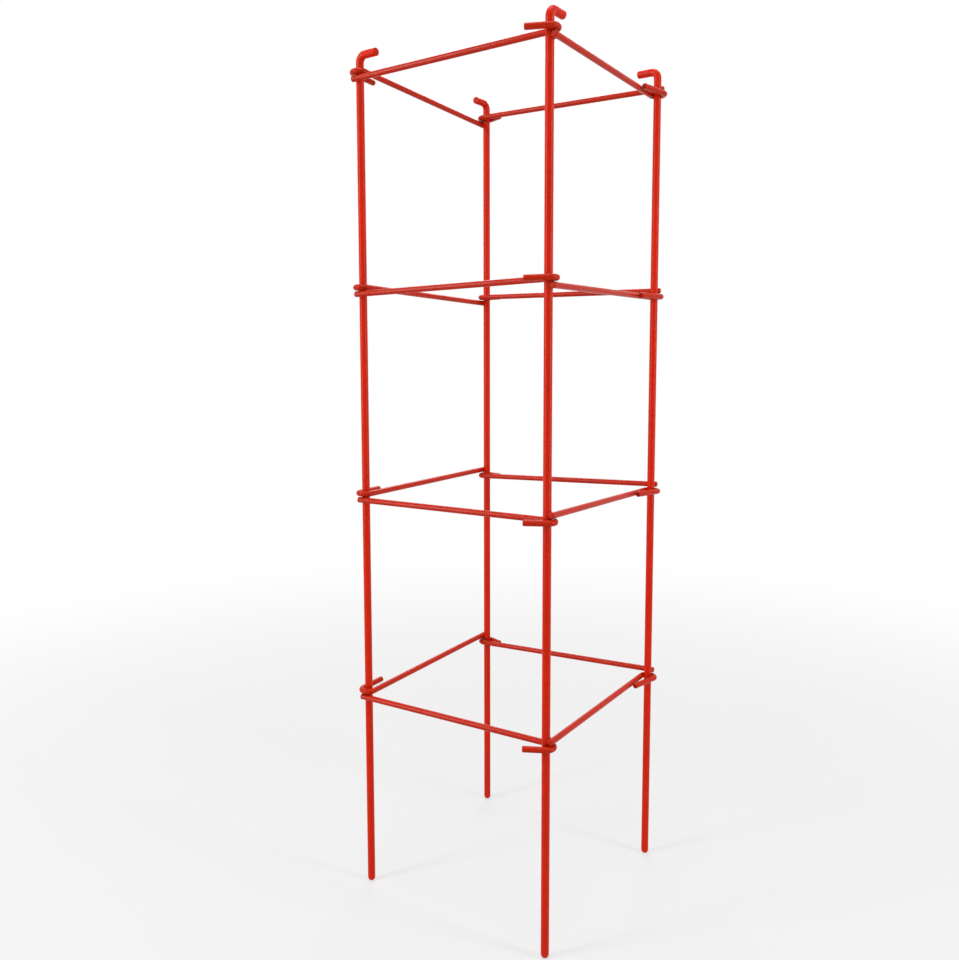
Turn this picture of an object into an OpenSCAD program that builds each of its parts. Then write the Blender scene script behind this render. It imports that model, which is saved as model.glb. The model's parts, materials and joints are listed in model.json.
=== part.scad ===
// Folding square tomato cage of welded rod.
// Four flat frames stand round a square. Each has one leg and a bar on every tier, and its bars
// end in eyes that turn on the leg of the next frame, so the cage opens square and folds flat.
// Millimetres, +Z up, origin on the ground at the middle of the cage.

/* [Cage] */
// Distance between the axes of neighbouring legs
side_l = 304; // [220:1:420]
// Height of the lowest tier of bars above the ground
first_tier_h = 292; // [120:1:400]
// Height of each tier above the one below it
tier_pitch = 292; // [120:1:400]

/* [Legs] */
// Diameter of a leg rod
leg_d = 11; // [8:0.5:14]
// Straight stretch of leg between the top eye and the bend above it
hook_neck_l = 9; // [2:0.5:40]
// Radius of the bend at the top of a leg, at the rod's axis
hook_bend_r = 10; // [8:0.5:20]
// Straight arm past that bend
hook_arm_l = 21; // [10:1:60]

/* [Bars] */
// Diameter of a bar rod
bar_d = 8.2; // [5:0.1:9.5]
// Length of bar past its weld, to the cut end
bar_end_l = 6.5; // [6:0.5:20]
// Gap between a leg's own bar and the eye above or below it
eye_gap = 1; // [0.9:0.1:5]
// Gap between an eye and the leg inside it
eye_clear = 0.4; // [0.3:0.1:1.5]
// Straight tail of an eye of the front frame, past its bend
front_tail_l = 50; // [20:1:60]
// Straight tail of an eye of the right frame, past its bend
right_tail_l = 24; // [20:1:60]
// Straight tail of an eye of the back frame, past its bend
back_tail_l = 43; // [15:1:60]
// Straight tail of an eye of the left frame, past its bend
left_tail_l = 30; // [15:1:40]
// Gap between a bar and the end of its tail, on the front and right frames
tail_gap = 1.2; // [0.8:0.1:10]
// Bend of the eyes of the back frame, in degrees
back_eye_bend = 180; // [140:1:180]
// Bend of the eyes of the left frame, in degrees
left_eye_bend = 155; // [140:1:180]

/* [Ends and bends] */
// Radius on the edge of a cut rod end
end_round = 1.5; // [0.3:0.1:2]
// How much thicker a rod is where it is bent
bend_swell = 0.1; // [0.05:0.05:0.5]

/* [Welds] */
// How deep a bar is pressed into its leg at the weld
weld_set = 0.5; // [0.2:0.1:1]
// Width of weld that shows beyond the bar
weld_leg = 0.6; // [0.4:0.1:0.7]

/* [Hidden] */
$fn = 64;
FRAMES = ["front", "right", "back", "left"];
TIERS = [1, 2, 3, 4];

coat = "#c8281c";
weld_coat = "#b5241a";

leg_r = leg_d / 2;
bar_r = bar_d / 2;

// A bar lies outside its own leg and passes inside the next one, so it crosses its side aslant
own_offset = leg_r + bar_r - weld_set;
eye_r = leg_r + eye_clear + bar_r + bend_swell / 2;
slant = asin((own_offset + eye_r) / side_l);
run_l = side_l * cos(slant);

// Bend of an eye whose tail comes back to its bar, from the tail's length and the gap at its end
function closing_bend(tail_l) = 180 - atan2(tail_l, eye_r)
    + acos((bar_d + tail_gap - eye_r) / norm([tail_l, eye_r]));
eye_bends = [closing_bend(front_tail_l), closing_bend(right_tail_l), back_eye_bend, left_eye_bend];
tails = [front_tail_l, right_tail_l, back_tail_l, left_tail_l];

// Place of the eyes beside the welded bars, leg by leg and tier by tier: 1 above, -1 below.
// The front and back legs have both kinds, which keeps the frames from sliding along the legs.
eye_side_shares = [[-1, -1, 1, 1], [-1, -1, -1, -1], [-1, -1, 1, 1], [1, 1, 1, 1]];
eye_step = bar_d + eye_gap;
function eye_side(f, t) = eye_side_shares[f % len(FRAMES)][t - TIERS[0]];
function tier_z(t) = first_tier_h + (t - TIERS[0]) * tier_pitch;
function own_z(f, t) = tier_z(t) - eye_side(f, t) * eye_step / 2;
function rise(f, t) = (eye_side(f, t) + eye_side(f + 1, t)) * eye_step / 2;

top_tier = TIERS[len(TIERS) - 1];
bend_z = tier_z(top_tier) + eye_step / 2 + bar_r + hook_neck_l;
weld_r = bar_r + weld_leg;

// A straight rod runs a little way into a bend, less than would show on the bend's outer side
splice_share = 0.5;
function splice(d, r) = splice_share * sqrt(bend_swell * (r + d / 2));
leg_splice = splice(leg_d, hook_bend_r);
bar_splice = splice(bar_d, eye_r);

// Places a frame: its leg stands at one corner and its bars run to the next corner
module in_place(f) rotate(f * 360 / len(FRAMES)) translate([-side_l / 2, -side_l / 2]) children();

// Lays a bar's plane: X runs along the bar from its weld, Y points into the cage
module bar_plane(f, t)
    translate([own_offset * sin(slant), -own_offset * cos(slant), own_z(f, t)])
        rotate([0, -atan(rise(f, t) / run_l), slant]) children();

// Straight rod along X, with a rounded edge at its far end
module rod(d, l) rotate([0, 90, 0]) rotate_extrude() {
    square([d / 2, l - end_round]);
    square([d / 2 - end_round, l]);
    translate([d / 2 - end_round, l - end_round]) circle(r = end_round);
}

// Rod bent about Z, from the X axis through the given angle
module bent_rod(d, r, bend) rotate_extrude(angle = bend) translate([r, 0]) circle(d = d + bend_swell);

// Straight part of a leg, from its domed ground tip to its bend
module leg_shank() translate([0, 0, leg_r]) cylinder(d = leg_d, h = bend_z - leg_r + leg_splice);

module leg() color(coat) {
    leg_shank();
    translate([0, 0, leg_r]) sphere(d = leg_d);
    translate([hook_bend_r, 0, bend_z]) {
        rotate([90, 0, 0]) mirror([1, 0, 0]) bent_rod(leg_d, hook_bend_r, 90);
        translate([-leg_splice, 0, hook_bend_r]) rod(leg_d, leg_splice + hook_arm_l);
    }
}

// Bar with its cut end, its straight run, and the eye and tail at the next leg
module bar_rod(f, t) {
    bend = eye_bends[f];
    eye_l = norm([run_l, rise(f, t)]);
    bar_plane(f, t) {
        translate([eye_l + bar_splice, 0]) mirror([1, 0, 0]) rod(bar_d, bar_end_l + eye_l + bar_splice);
        translate([eye_l, -eye_r]) rotate(90 - bend) {
            bent_rod(bar_d, eye_r, bend);
            translate([eye_r, bar_splice]) rotate(-90) rod(bar_d, bar_splice + tails[f]);
        }
    }
}

module bar(f, t) color(coat) difference() {
    bar_rod(f, t);
    leg_shank();
}

// Beads where the bars of a frame cross its leg
module welds(f) color(weld_coat) for (t = TIERS) difference() {
    rotate(slant) translate([0, -leg_r, own_z(f, t)]) rotate([90, 0, 0]) sphere(r = weld_r);
    leg_shank();
    bar_plane(f, t) translate([bar_end_l, 0]) mirror([1, 0, 0]) rod(bar_d, 2 * bar_end_l);
}

for (f = [0:len(FRAMES) - 1]) {
    in_place(f) leg();
    for (t = TIERS) in_place(f) bar(f, t);
    in_place(f) welds(f);
}
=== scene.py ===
"""Dresses the folding tomato cage: coated rods, weld coats, and a plain pale studio."""

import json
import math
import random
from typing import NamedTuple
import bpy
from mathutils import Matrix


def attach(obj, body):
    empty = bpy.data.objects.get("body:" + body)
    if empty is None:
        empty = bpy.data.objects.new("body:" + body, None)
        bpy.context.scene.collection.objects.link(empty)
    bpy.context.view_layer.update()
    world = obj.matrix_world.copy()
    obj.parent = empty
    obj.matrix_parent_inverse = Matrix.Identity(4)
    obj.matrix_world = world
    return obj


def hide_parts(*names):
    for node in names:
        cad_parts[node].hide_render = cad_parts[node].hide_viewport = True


bl_info = {
    "name": "Folding Tomato Cage",
    "version": (1, 0, 0),
    "blender": (4, 5, 0),
    "location": "View3D > Sidebar > Cage",
    "description": "Coats a folding tomato cage's rods and welds and sets it in a plain studio",
    "category": "Object",
}

import bpy
from bpy.props import FloatProperty, FloatVectorProperty, PointerProperty
from mathutils import Matrix, Vector

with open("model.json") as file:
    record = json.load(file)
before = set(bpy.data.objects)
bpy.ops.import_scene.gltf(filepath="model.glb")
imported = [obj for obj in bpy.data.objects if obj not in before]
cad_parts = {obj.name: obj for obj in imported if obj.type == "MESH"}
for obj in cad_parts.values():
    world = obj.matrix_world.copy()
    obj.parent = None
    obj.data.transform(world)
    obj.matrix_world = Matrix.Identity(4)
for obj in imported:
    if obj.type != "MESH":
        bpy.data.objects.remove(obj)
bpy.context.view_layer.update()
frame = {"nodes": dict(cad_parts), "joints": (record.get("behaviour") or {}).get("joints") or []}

FRAMES = ("front", "right", "back", "left")
TIERS = (1, 2, 3, 4)
IMAGE_W, IMAGE_H = 959, 960
WHITE = (1.0, 1.0, 1.0, 1.0)

# Leg axes stand at the fold pivots, and the fourth closes the square
PIVOT = {j["name"]: Vector(j["pos_m"]) for j in frame["joints"]}
LEG_AXIS = {
    "front": PIVOT["left_fold"].xy,
    "right": PIVOT["right_fold"].xy,
    "back": PIVOT["back_fold"].xy,
}
LEG_AXIS["left"] = LEG_AXIS["front"] + LEG_AXIS["back"] - LEG_AXIS["right"]
SIDE_L = (LEG_AXIS["right"] - LEG_AXIS["front"]).length

# Side of the welded bars on which the eyes lie, leg by leg from the lowest tier: 1 above, -1 below
EYE_SIDES = {
    "front": (-1, -1, 1, 1),
    "right": (-1, -1, -1, -1),
    "back": (-1, -1, 1, 1),
    "left": (1, 1, 1, 1),
}

# Noise in the coat: cells to the metre, and levels of detail
DRIFT_SCALE, DRIFT_DETAIL = 14.0, 2.0
CLOUD_SCALE, CLOUD_DETAIL = 130.0, 3.0
PEEL_SCALE, PEEL_DETAIL = 750.0, 1.0
NOISE_MIDDLE = 0.5

# What the noise does to the coat's colour, roughness and surface
DRIFT_TONE, CLOUD_TONE = 0.6, 0.4
TONE_SPAN = (0.30, 0.70)
DARK_GAIN, LIGHT_GAIN = 0.92, 1.06
CLOUD_ROUGH, PEEL_ROUGH = 0.10, 0.04
PEEL_BUMP, CLOUD_BUMP, BUMP_STRENGTH = 0.4, 0.6, 0.5
COAT_IOR, COAT_SPECULAR = 1.46, 0.14

# Rings that the eyes rub on a leg: metres from the eye's height, patches of cloud, and effect
RING_SPAN = (0.0030, 0.0052)
RING_PATCHES = (0.38, 0.62)
RING_GAIN, RING_SHARE, RING_ROUGH = 0.55, 0.45, 0.18

# Painted shade and rougher coat at a cut end: metres past the end and beside the rod, patches of
# cloud, and effect
END_START, END_STOP, END_BESIDE = (-0.0011, -0.0001), (0.0006, 0.0012), (0.0003, 0.0007)
END_PATCHES = (0.35, 0.60)
END_SHARE, END_PATCH_SHARE, END_ROUGH = 0.20, 0.25, 0.15

# Sockets of a Mix node that mixes colours
MIX_FACTOR, MIX_A, MIX_B, MIX_RESULT = 0, 6, 7, 2


# Sizes and colours that can be changed

class CoatProperties(bpy.types.PropertyGroup):
    """Colours and surface of the plastic coat on the rods."""

    leg_color: FloatVectorProperty(
        name="Leg colour", description="Main colour of the coat on the legs",
        subtype="COLOR", size=3, min=0.0, max=1.0, default=(0.60, 0.015, 0.000))
    bar_color: FloatVectorProperty(
        name="Bar colour", description="Main colour of the coat on the bars",
        subtype="COLOR", size=3, min=0.0, max=1.0, default=(0.47, 0.016, 0.001))
    weld_color: FloatVectorProperty(
        name="Weld colour", description="Main colour of the thicker coat over the welds",
        subtype="COLOR", size=3, min=0.0, max=1.0, default=(0.50, 0.015, 0.001))
    # The end colour is painted shade, laid on the coat at the cut ends of the rods
    end_shade_color: FloatVectorProperty(
        name="End colour", description="Colour of the coat at the cut ends of the rods",
        subtype="COLOR", size=3, min=0.0, max=1.0, default=(0.16, 0.006, 0.004))
    roughness: FloatProperty(
        name="Roughness", description="Roughness of clean coat", subtype="FACTOR",
        min=0.0, max=1.0, default=0.27)
    peel: FloatProperty(
        name="Peel depth", description="Height of the fine ripple in the coat",
        subtype="DISTANCE", unit="LENGTH", min=0.0, max=0.001, default=0.00003, precision=6)


class RodProperties(bpy.types.PropertyGroup):
    """Sizes of the rods and of their joints, as in the solids."""

    leg_d: FloatProperty(
        name="Leg diameter", description="Diameter of a leg rod",
        subtype="DISTANCE", unit="LENGTH", min=0.004, max=0.02, default=0.011, precision=5)
    bar_d: FloatProperty(
        name="Bar diameter", description="Diameter of a bar rod",
        subtype="DISTANCE", unit="LENGTH", min=0.002, max=0.02, default=0.0082, precision=5)
    first_tier_h: FloatProperty(
        name="First tier", description="Height of the lowest tier of bars",
        subtype="DISTANCE", unit="LENGTH", min=0.05, max=1.0, default=0.292, precision=4)
    tier_pitch: FloatProperty(
        name="Tier pitch", description="Height of each tier above the one below it",
        subtype="DISTANCE", unit="LENGTH", min=0.05, max=1.0, default=0.292, precision=4)
    arm_reach: FloatProperty(
        name="Arm reach", description="Distance from a leg's axis to the end of its top arm",
        subtype="DISTANCE", unit="LENGTH", min=0.01, max=0.1, default=0.031, precision=4)
    weld_set: FloatProperty(
        name="Weld set", description="How deep a bar is pressed into its leg",
        subtype="DISTANCE", unit="LENGTH", min=0.0, max=0.002, default=0.0005, precision=5)
    bead_r: FloatProperty(
        name="Bead radius", description="Radius of the weld bead, from the surface of the leg",
        subtype="DISTANCE", unit="LENGTH", min=0.001, max=0.01, default=0.0047, precision=5)
    eye_step: FloatProperty(
        name="Eye step", description="Height between a welded bar and the eye beside it",
        subtype="DISTANCE", unit="LENGTH", min=0.0, max=0.03, default=0.0092, precision=5)
    eye_r: FloatProperty(
        name="Eye radius", description="Radius of an eye at the axis of its rod",
        subtype="DISTANCE", unit="LENGTH", min=0.004, max=0.03, default=0.01005, precision=5)
    front_bend: FloatProperty(
        name="Front eye bend", description="Bend of the eyes of the front frame",
        subtype="ANGLE", unit="ROTATION", default=math.radians(192.10))
    front_tail_l: FloatProperty(
        name="Front tail", description="Straight tail of an eye of the front frame",
        subtype="DISTANCE", unit="LENGTH", min=0.0, max=0.1, default=0.050, precision=4)
    right_bend: FloatProperty(
        name="Right eye bend", description="Bend of the eyes of the right frame",
        subtype="ANGLE", unit="ROTATION", default=math.radians(204.15))
    right_tail_l: FloatProperty(
        name="Right tail", description="Straight tail of an eye of the right frame",
        subtype="DISTANCE", unit="LENGTH", min=0.0, max=0.1, default=0.024, precision=4)
    back_bend: FloatProperty(
        name="Back eye bend", description="Bend of the eyes of the back frame",
        subtype="ANGLE", unit="ROTATION", default=math.radians(180.00))
    back_tail_l: FloatProperty(
        name="Back tail", description="Straight tail of an eye of the back frame",
        subtype="DISTANCE", unit="LENGTH", min=0.0, max=0.1, default=0.043, precision=4)
    left_bend: FloatProperty(
        name="Left eye bend", description="Bend of the eyes of the left frame",
        subtype="ANGLE", unit="ROTATION", default=math.radians(155.00))
    left_tail_l: FloatProperty(
        name="Left tail", description="Straight tail of an eye of the left frame",
        subtype="DISTANCE", unit="LENGTH", min=0.0, max=0.1, default=0.030, precision=4)


class StageProperties(bpy.types.PropertyGroup):
    """Floor, room light and camera."""

    floor_r: FloatProperty(
        name="Floor radius", description="Radius of the round floor",
        subtype="DISTANCE", unit="LENGTH", min=1.0, max=40.0, default=14.0)
    floor_color: FloatVectorProperty(
        name="Floor colour", description="Colour of the plain floor",
        subtype="COLOR", size=3, min=0.0, max=1.0, default=(0.60, 0.60, 0.60))
    world_light: FloatProperty(
        name="Room light", description="Strength of the even light from all round",
        min=0.0, max=2.0, default=0.26)
    camera_place: FloatVectorProperty(
        name="Camera place", description="Where the camera stands",
        subtype="TRANSLATION", unit="LENGTH", size=3, default=(-1.1077, -0.7281, 0.7940))
    camera_yaw: FloatProperty(
        name="Camera heading", description="Heading of the camera, from +X towards +Y",
        subtype="ANGLE", unit="ROTATION", default=math.radians(35.24))
    camera_pitch: FloatProperty(
        name="Camera pitch", description="How far the camera looks down",
        subtype="ANGLE", unit="ROTATION", default=math.radians(5.68))
    camera_roll: FloatProperty(
        name="Camera roll", description="Lean of the camera to one side",
        subtype="ANGLE", unit="ROTATION", default=math.radians(-0.10))
    focal_px: FloatProperty(
        name="Focal length", description="Focal length in pixels of the picture",
        min=100.0, max=5000.0, default=904.0)
    middle_px: FloatVectorProperty(
        name="Optical centre", description="Where the optical axis meets the picture, in pixels",
        size=2, default=(482.2, 439.24))


# Shader maths

class Value:
    """A node socket that takes part in Python arithmetic."""

    def __init__(self, graph, socket):
        self.graph, self.socket = graph, socket

    def _math(self, operation, a, b=None):
        sockets = {0: a} if b is None else {0: a, 1: b}
        return self.graph.node("ShaderNodeMath", {"operation": operation}, sockets)[0]

    def __add__(self, other): return self._math("ADD", self, other)
    def __radd__(self, other): return self._math("ADD", other, self)
    def __sub__(self, other): return self._math("SUBTRACT", self, other)
    def __rsub__(self, other): return self._math("SUBTRACT", other, self)
    def __mul__(self, other): return self._math("MULTIPLY", self, other)
    def __rmul__(self, other): return self._math("MULTIPLY", other, self)
    def __abs__(self): return self._math("ABSOLUTE", self)

    def least(self, other): return self._math("MINIMUM", self, other)
    def most(self, other): return self._math("MAXIMUM", self, other)


class Outputs:
    """The outputs of a node, by name or number."""

    def __init__(self, graph, node):
        self.graph, self.node = graph, node

    def __getitem__(self, key):
        return Value(self.graph, self.node.outputs[key])


class Graph:
    """Builds one node tree."""

    def __init__(self, tree):
        self.tree = tree
        tree.nodes.clear()

    def node(self, kind, settings=None, sockets=None):
        """Adds a node: its settings are set first, then its sockets get values or links."""
        made = self.tree.nodes.new(kind)
        for key, value in (settings or {}).items():
            if key == "stops":
                self._stops(made.color_ramp, value)
            else:
                setattr(made, key, value)
        for key, value in (sockets or {}).items():
            if isinstance(value, Value):
                self.tree.links.new(value.socket, made.inputs[key])
            else:
                made.inputs[key].default_value = value
        return Outputs(self, made)

    @staticmethod
    def _stops(ramp, stops):
        while len(ramp.elements) < len(stops):
            ramp.elements.new(stops[-1][0])
        for element, (place, color) in zip(ramp.elements, stops):
            element.position, element.color = place, color

    def noise(self, coords, scale, detail):
        sockets = {"Vector": coords, "Scale": scale, "Detail": detail}
        return self.node("ShaderNodeTexNoise", {"noise_dimensions": "3D"}, sockets)[0]

    def smooth(self, value, low, high):
        """0 below low, 1 above high, eased between them."""
        settings = {"interpolation_type": "SMOOTHSTEP", "clamp": True}
        return self.node("ShaderNodeMapRange", settings,
                         {"Value": value, "From Min": low, "From Max": high})[0]

    def mix(self, factor, a, b):
        """Colour a, turning into colour b as the factor grows."""
        settings = {"data_type": "RGBA", "blend_type": "MIX", "clamp_factor": True}
        return self.node("ShaderNodeMix", settings,
                         {MIX_FACTOR: factor, MIX_A: a, MIX_B: b})[MIX_RESULT]

    def along(self, vector, way):
        """How far a vector reaches along a level direction."""
        return self.node("ShaderNodeVectorMath", {"operation": "DOT_PRODUCT"},
                         {0: vector, 1: way.to_3d()})["Value"]

    def seen_straight(self):
        """1 where the camera sees the surface, also by reflection or through something clear."""
        path = self.node("ShaderNodeLightPath")
        return path["Is Camera Ray"].most(path["Is Glossy Ray"]).most(path["Is Transmission Ray"])

    def finish(self, shader):
        self.node("ShaderNodeOutputMaterial", None, {"Surface": shader})


def new_material(name):
    material = bpy.data.materials.new(name)
    material.use_nodes = True
    return material, Graph(material.node_tree)


def shade(color, gain):
    """A colour made lighter or darker, with alpha."""
    return tuple(min(1.0, c * gain) for c in color) + (1.0,)


# Where the rods lie

class RodEnd(NamedTuple):
    """A cut rod end: its place and the way it points in plan, its radius, and the plan's turn."""

    point: Vector
    outward: Vector
    rod_r: float
    turn: float


class Layout:
    """Places of one frame's rods. In its plan the leg is at 0, 0 and X runs to the next leg."""

    def __init__(self, rods, number):
        self.rods, self.number = rods, number
        self.turn = number * math.pi / 2
        self.leg_r, self.bar_r = rods.leg_d / 2, rods.bar_d / 2
        self.own_offset = self.leg_r + self.bar_r - rods.weld_set
        self.slant = math.asin((self.own_offset + rods.eye_r) / SIDE_L)
        self.run = SIDE_L * math.cos(self.slant)
        self.bend = getattr(rods, f"{FRAMES[number]}_bend")
        self.tail_l = getattr(rods, f"{FRAMES[number]}_tail_l")

    def side(self, step, tier):
        """Side of the eye on this leg, or on the leg some steps further round."""
        return EYE_SIDES[FRAMES[(self.number + step) % len(FRAMES)]][tier - TIERS[0]]

    def tier_z(self, tier):
        return self.rods.first_tier_h + (tier - TIERS[0]) * self.rods.tier_pitch

    def own_z(self, tier):
        """Height of this leg's own bar at its weld."""
        return self.tier_z(tier) - self.side(0, tier) * self.rods.eye_step / 2

    def eye_z(self, tier):
        """Height of the eye that turns on this leg."""
        return self.tier_z(tier) + self.side(0, tier) * self.rods.eye_step / 2

    def climb(self, tier):
        """Slope of a bar, as an angle."""
        rise = (self.side(0, tier) + self.side(1, tier)) * self.rods.eye_step / 2
        return math.atan(rise / self.run)

    def in_plan(self, x, y):
        """A point given along and across the bar, in the frame's plan."""
        place = Vector((x, y - self.own_offset))
        place.rotate(Matrix.Rotation(self.slant, 2))
        return place

    def arm_end(self):
        """Cut end of the arm at the top of the leg."""
        return RodEnd(Vector((self.rods.arm_reach, 0.0)), Vector((1.0, 0.0)),
                      self.leg_r, self.turn)

    def tail_end(self):
        """Cut end of a bar's tail."""
        middle = Vector((self.run, -self.rods.eye_r))
        turned = Matrix.Rotation(math.pi / 2 - self.bend, 2)
        bent = turned @ Vector((self.rods.eye_r, 0.0))
        back = turned @ Vector((0.0, -1.0))
        tail = middle + bent + back * self.tail_l
        return RodEnd(self.in_plan(*tail), Matrix.Rotation(self.slant, 2) @ back,
                      self.bar_r, self.turn)

    def corner(self):
        """Turn and shift that carry the plan to the frame's place."""
        axis = LEG_AXIS[FRAMES[self.number]]
        return Matrix.Translation(axis.to_3d()) @ Matrix.Rotation(self.turn, 4, "Z")


# Finishes

def end_mask(g, place, end):
    """1 on the last stretch of a rod, up to its cut end, where the coat gets painted shade."""
    half = SIDE_L / 2
    plan = g.node("ShaderNodeMapping", {"vector_type": "POINT"}, {
        "Vector": place, "Location": (half, half, 0.0), "Rotation": (0.0, 0.0, -end.turn)})[0]
    from_end = g.node("ShaderNodeVectorMath", {"operation": "SUBTRACT"},
                      {0: plan, 1: end.point.to_3d()})[0]
    past = g.along(from_end, end.outward)
    beside = abs(g.along(from_end, end.outward.orthogonal()))
    near = g.smooth(past, *END_START) * (1.0 - g.smooth(past, *END_STOP))
    return near * (1.0 - g.smooth(beside, *(end.rod_r + reach for reach in END_BESIDE)))


def coat_material(name, color, coat, end=None, rings=()):
    """Plastic coat with slow drift and fine ripple, with painted shade at a cut end and worn
    rings, if given.
    """
    material, g = new_material(name)
    place = g.node("ShaderNodeTexCoord")["Object"]
    drift = g.noise(place, DRIFT_SCALE, DRIFT_DETAIL)
    cloud = g.noise(place, CLOUD_SCALE, CLOUD_DETAIL)
    peel = g.noise(place, PEEL_SCALE, PEEL_DETAIL)
    tone = g.smooth(drift * DRIFT_TONE + cloud * CLOUD_TONE, *TONE_SPAN)
    stops = [(0.0, shade(color, DARK_GAIN)), (0.5, shade(color, 1.0)),
             (1.0, shade(color, LIGHT_GAIN))]
    main = g.node("ShaderNodeValToRGB", {"stops": stops}, {"Fac": tone})[0]
    rough = (coat.roughness + CLOUD_ROUGH * (cloud - NOISE_MIDDLE)
             + PEEL_ROUGH * (peel - NOISE_MIDDLE))
    if rings:
        height = g.node("ShaderNodeSeparateXYZ", None, {0: place})[2]
        ring = sum(1.0 - g.smooth(abs(height - z), *RING_SPAN) for z in rings)
        rubbed = (ring * g.smooth(cloud, *RING_PATCHES)).least(1.0)
        main = g.mix(rubbed * RING_SHARE, main, shade(color, RING_GAIN))
        rough = rough + rubbed * RING_ROUGH
    # Painted shade at the cut end: the coat turns towards the dark end colour there, and grows
    # rougher
    if end:
        patches = END_SHARE + END_PATCH_SHARE * g.smooth(cloud, *END_PATCHES)
        painted_end_shade = end_mask(g, place, end) * patches
        main = g.mix(painted_end_shade, main, shade(coat.end_shade_color, 1.0))
        rough = rough + painted_end_shade * END_ROUGH
    bump = g.node("ShaderNodeBump", None, {
        "Strength": BUMP_STRENGTH, "Distance": coat.peel,
        "Height": peel * PEEL_BUMP + cloud * CLOUD_BUMP})[0]
    shader = g.node("ShaderNodeBsdfPrincipled", None, {
        "Base Color": main, "Roughness": rough, "Normal": bump, "IOR": COAT_IOR,
        "Specular IOR Level": COAT_SPECULAR})[0]
    g.finish(shader)
    return material


# Modelling helpers

def clear_selection():
    if bpy.context.mode != "OBJECT":
        bpy.ops.object.mode_set(mode="OBJECT")
    bpy.ops.object.select_all(action="DESELECT")


def make_active(*objects):
    """Selects some objects alone, and makes the first of them active."""
    clear_selection()
    for each in objects:
        each.select_set(True)
    bpy.context.view_layer.objects.active = objects[0]


def apply_modifier(piece, kind, **settings):
    make_active(piece)
    modifier = piece.modifiers.new(kind.lower(), kind)
    for key, value in settings.items():
        setattr(modifier, key, value)
    bpy.ops.object.modifier_apply(modifier=modifier.name)


def settle(piece):
    """Puts a piece's place into its mesh, so that its object sits at the origin."""
    make_active(piece)
    bpy.ops.object.transform_apply(location=True, rotation=True, scale=True)


def place_piece(piece, matrix):
    """Moves a piece and puts its new place into its mesh."""
    piece.matrix_world = matrix
    settle(piece)


def join(name, pieces):
    make_active(*pieces)
    bpy.ops.object.join()
    joined = bpy.context.active_object
    joined.name = joined.data.name = name
    return joined


def paint(node, material):
    """Gives a CAD node a finish in the slots that it already has."""
    for slot in frame["nodes"][node].material_slots:
        slot.material = material


# Operators

class CAGE_OT_coat_rods(bpy.types.Operator):
    """Coat the legs and bars in plastic"""

    bl_idname = "cage.coat_rods"
    bl_label = "Coat Legs and Bars"

    def execute(self, context):
        coat, rods = context.scene.cage_coat, context.scene.cage_rods
        for number, name in enumerate(FRAMES):
            layout = Layout(rods, number)
            # Each leg gets painted shade at its arm's cut end and worn rings at its eyes; each bar
            # gets painted shade at its tail's cut end
            paint(f"{name}_leg", coat_material(
                f"{name}_leg_coat", coat.leg_color, coat, layout.arm_end(),
                [layout.eye_z(tier) for tier in TIERS]))
            bar_coat = coat_material(
                f"{name}_bar_coat", coat.bar_color, coat, layout.tail_end())
            for tier in TIERS:
                paint(f"{name}_bar_{tier}", bar_coat)
        return {"FINISHED"}


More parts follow.
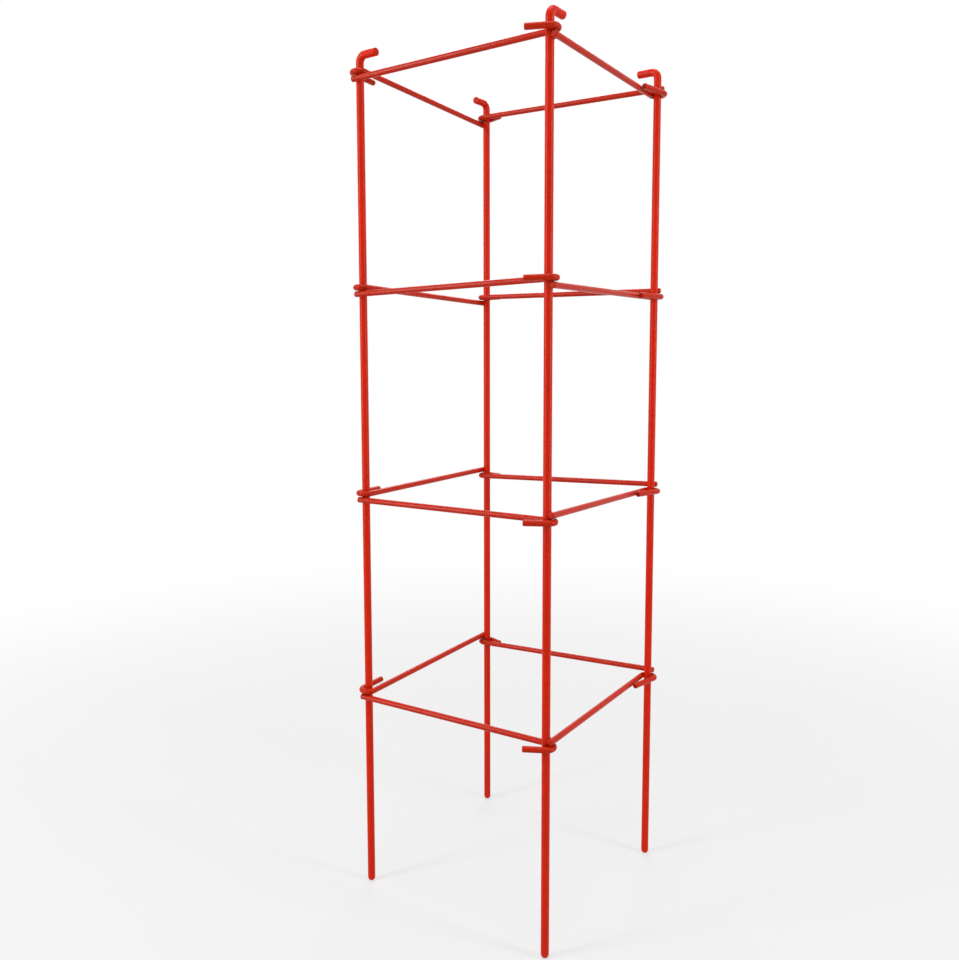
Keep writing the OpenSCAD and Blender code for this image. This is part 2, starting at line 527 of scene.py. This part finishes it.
class CAGE_OT_weld_coats(bpy.types.Operator):
    """Model the lumps of coated weld between each leg and its own bars"""

    bl_idname = "cage.weld_coats"
    bl_label = "Model Weld Coats"

    seed = 16

    # Stretches of leg and bar inside a lump, and how far they stay below the rods' surfaces
    leg_core = (-0.0046, 0.0046)
    bar_core = (-0.0050, 0.0056)
    sunk = 0.00005
    core_sides = 64

    # Their drawn-in tips, and how near a face lies to the end that it belongs to, as radii
    tip_l, tip_width = 0.2, 0.7
    end_near = 1e-3

    # How the beads differ: their size, their stretch along and up the leg's face, and their shift
    bead_sizes = (0.96, 1.0)
    bead_lengths = (1.02, 1.14)
    bead_heights = (0.95, 1.0)
    bead_shifts = (-0.0005, 0.0005)
    bead_out = 0.0002
    bead_segments, bead_rings = 64, 32

    # How the lumps are run together
    voxel = 0.00045
    smooth_factor, smooth_rounds = 0.5, 4

    def execute(self, context):
        coat, rods = context.scene.cage_coat, context.scene.cage_rods
        chance = random.Random(self.seed)
        for number, name in enumerate(FRAMES):
            layout = Layout(rods, number)
            lumps = [self.lump(layout, tier, chance) for tier in TIERS]
            piece = join(f"{name}_weld_coats", lumps)
            piece.data.materials.append(coat_material(f"{name}_weld_coat", coat.weld_color, coat))
            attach(piece, f"{name}_frame")
            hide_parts(f"{name}_welds")
        return {"FINISHED"}

    def lump(self, layout, tier, chance):
        """One weld: a bead grown on to cores of the leg and the bar, then smoothed together."""
        in_leg = self.core(layout.leg_r - self.sunk, *self.leg_core)
        in_bar = self.core(layout.bar_r - self.sunk, *self.bar_core)
        place_piece(in_bar, self.bar_place(layout, tier))
        grown = self.bead(layout.rods.bead_r, chance)
        shift = (chance.uniform(*self.bead_shifts), -layout.leg_r - self.bead_out, 0.0)
        place_piece(grown, Matrix.Rotation(layout.slant, 4, "Z") @ Matrix.Translation(shift))
        piece = join(f"weld_{tier}", [in_leg, in_bar, grown])
        apply_modifier(piece, "REMESH", mode="VOXEL", voxel_size=self.voxel, use_smooth_shade=True)
        apply_modifier(piece, "SMOOTH", factor=self.smooth_factor, iterations=self.smooth_rounds)
        place_piece(piece, layout.corner() @ Matrix.Translation((0.0, 0.0, layout.own_z(tier))))
        return piece

    def core(self, radius, low, high):
        """Short round bar along Z whose two ends are drawn in, made from a cylinder."""
        clear_selection()
        bpy.ops.mesh.primitive_cylinder_add(
            vertices=self.core_sides, radius=radius, depth=high - low,
            location=(0.0, 0.0, (low + high) / 2))
        piece = bpy.context.active_object
        settle(piece)
        bpy.ops.object.mode_set(mode="EDIT")
        bpy.ops.mesh.select_mode(type="FACE")
        for height, way in ((high, 1.0), (low, -1.0)):
            bpy.ops.mesh.select_all(action="DESELECT")
            bpy.ops.object.mode_set(mode="OBJECT")
            for face in piece.data.polygons:
                face.select = abs(face.center.z - height) < radius * self.end_near
            bpy.ops.object.mode_set(mode="EDIT")
            bpy.ops.mesh.extrude_region_move(
                TRANSFORM_OT_translate={"value": (0.0, 0.0, way * radius * self.tip_l)})
            bpy.ops.transform.resize(value=(self.tip_width, self.tip_width, 1.0))
        bpy.ops.object.mode_set(mode="OBJECT")
        return piece

    def bead(self, radius, chance):
        """Lump of weld made from a sphere, longer along X than it is high."""
        size = chance.uniform(*self.bead_sizes)
        stretch = (chance.uniform(*self.bead_lengths), 1.0, chance.uniform(*self.bead_heights))
        clear_selection()
        bpy.ops.mesh.primitive_uv_sphere_add(
            segments=self.bead_segments, ring_count=self.bead_rings, radius=radius * size)
        piece = bpy.context.active_object
        bpy.ops.object.mode_set(mode="EDIT")
        bpy.ops.mesh.select_all(action="SELECT")
        bpy.ops.transform.resize(value=stretch)
        bpy.ops.object.mode_set(mode="OBJECT")
        return piece

    @staticmethod
    def bar_place(layout, tier):
        """Lays a core along the bar: its Z becomes the bar's run from the cut end to the eye."""
        return (Matrix.Translation(layout.in_plan(0.0, 0.0).to_3d())
                @ Matrix.Rotation(layout.slant, 4, "Z")
                @ Matrix.Rotation(math.pi / 2 - layout.climb(tier), 4, "Y"))


class CAGE_OT_stage(bpy.types.Operator):
    """Make the floor, the room light, the lamps and the camera"""

    bl_idname = "cage.stage"
    bl_label = "Set Studio"

    # The floor is palest far out: share of white near the middle, and the radii of the change
    floor_sides = 96
    near_white = 0.62
    fade_span = (0.5, 2.2)

    # Name, degrees from +X round to +Y, distance, height, width and length in metres, and watts
    lamps = (
        ("left_lamp", 150.0, 2.2, 1.20, 0.45, 2.2, 38.0),
        ("right_lamp", 276.0, 2.2, 1.20, 0.45, 2.2, 32.0),
        ("top_lamp", 200.0, 0.4, 3.2, 1.6, 1.6, 34.0),
        ("back_lamp", 33.0, 2.2, 2.6, 1.6, 1.6, 34.0),
    )
    lit_z = 0.62

    sensor_w = 36.0
    near_clip, far_clip = 0.01, 100.0

    def execute(self, context):
        stage = context.scene.cage_stage
        self.lay_floor(stage)
        self.light_room(context, stage)
        self.hang_lamps(context)
        self.place_camera(context, stage)
        context.scene.view_settings.view_transform = "Standard"
        return {"FINISHED"}

    def lay_floor(self, stage):
        clear_selection()
        bpy.ops.mesh.primitive_circle_add(
            vertices=self.floor_sides, radius=stage.floor_r, fill_type="NGON")
        floor = bpy.context.active_object
        floor.name = "floor"
        material, g = new_material("floor_paper")
        place = g.node("ShaderNodeTexCoord")["Object"]
        away = g.node("ShaderNodeVectorMath", {"operation": "LENGTH"}, {0: place})["Value"]
        fade = self.near_white + (1.0 - self.near_white) * g.smooth(away, *self.fade_span)
        paper = g.node("ShaderNodeBsdfDiffuse", None, {"Color": shade(stage.floor_color, 1.0)})[0]
        white = g.node("ShaderNodeEmission", None, {"Color": WHITE})[0]
        g.finish(g.node("ShaderNodeMixShader", None,
                        {0: g.seen_straight() * fade, 1: paper, 2: white})[0])
        floor.data.materials.append(material)

    @staticmethod
    def light_room(context, stage):
        world = bpy.data.worlds.new("room")
        world.use_nodes = True
        context.scene.world = world
        g = Graph(world.node_tree)
        light = g.node("ShaderNodeBackground", None,
                       {"Color": WHITE, "Strength": stage.world_light})[0]
        white = g.node("ShaderNodeBackground", None, {"Color": WHITE, "Strength": 1.0})[0]
        mixed = g.node("ShaderNodeMixShader", None,
                       {0: g.seen_straight(), 1: light, 2: white})[0]
        g.node("ShaderNodeOutputWorld", None, {"Surface": mixed})

    def hang_lamps(self, context):
        target = Vector((0.0, 0.0, self.lit_z))
        for name, heading, distance, height, width, length, power in self.lamps:
            data = bpy.data.lights.new(name, "AREA")
            data.shape, data.size, data.size_y = "RECTANGLE", width, length
            data.energy = power
            lamp = bpy.data.objects.new(name, data)
            context.scene.collection.objects.link(lamp)
            around = math.radians(heading)
            lamp.location = (distance * math.cos(around), distance * math.sin(around), height)
            lamp.rotation_euler = (target - lamp.location).to_track_quat("-Z", "Y").to_euler()

    def place_camera(self, context, stage):
        yaw, pitch, roll = stage.camera_yaw, stage.camera_pitch, stage.camera_roll
        ahead = Vector((math.cos(yaw) * math.cos(pitch), math.sin(yaw) * math.cos(pitch),
                        -math.sin(pitch)))
        right = Vector((math.sin(yaw), -math.cos(yaw), 0.0))
        up = right.cross(ahead)
        leaned_right = right * math.cos(roll) + up * math.sin(roll)
        leaned_up = up * math.cos(roll) - right * math.sin(roll)
        data = bpy.data.cameras.new("camera")
        data.sensor_fit, data.sensor_width = "HORIZONTAL", self.sensor_w
        data.lens = stage.focal_px / IMAGE_W * self.sensor_w
        data.shift_x = (IMAGE_W / 2 - stage.middle_px[0]) / IMAGE_W
        data.shift_y = (stage.middle_px[1] - IMAGE_H / 2) / IMAGE_W
        data.clip_start, data.clip_end = self.near_clip, self.far_clip
        camera = bpy.data.objects.new("camera", data)
        context.scene.collection.objects.link(camera)
        turned = Matrix((leaned_right, leaned_up, -ahead)).transposed()
        camera.matrix_world = Matrix.Translation(stage.camera_place) @ turned.to_4x4()
        context.scene.camera = camera


class CAGE_PT_sidebar(bpy.types.Panel):
    """Sizes, colours and steps of the cage"""

    bl_idname = "CAGE_PT_sidebar"
    bl_label = "Folding Tomato Cage"
    bl_space_type = "VIEW_3D"
    bl_region_type = "UI"
    bl_category = "Cage"

    def draw(self, context):
        for group in GROUPS:
            box = self.layout.box()
            settings = getattr(context.scene, group)
            for key in settings.__annotations__:
                box.prop(settings, key)
        for step in STEPS:
            self.layout.operator(step.bl_idname)


STEPS = (CAGE_OT_stage, CAGE_OT_coat_rods, CAGE_OT_weld_coats)
GROUPS = {"cage_coat": CoatProperties, "cage_rods": RodProperties, "cage_stage": StageProperties}
CLASSES = tuple(GROUPS.values()) + STEPS + (CAGE_PT_sidebar,)


def register():
    for each in CLASSES:
        bpy.utils.register_class(each)
    for key, group in GROUPS.items():
        setattr(bpy.types.Scene, key, PointerProperty(type=group))


def unregister():
    for key in GROUPS:
        delattr(bpy.types.Scene, key)
    for each in reversed(CLASSES):
        bpy.utils.unregister_class(each)


def main():
    register()
    bpy.ops.cage.stage()
    bpy.ops.cage.coat_rods()
    bpy.ops.cage.weld_coats()
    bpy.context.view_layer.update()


if __name__ == "__main__":
    main()
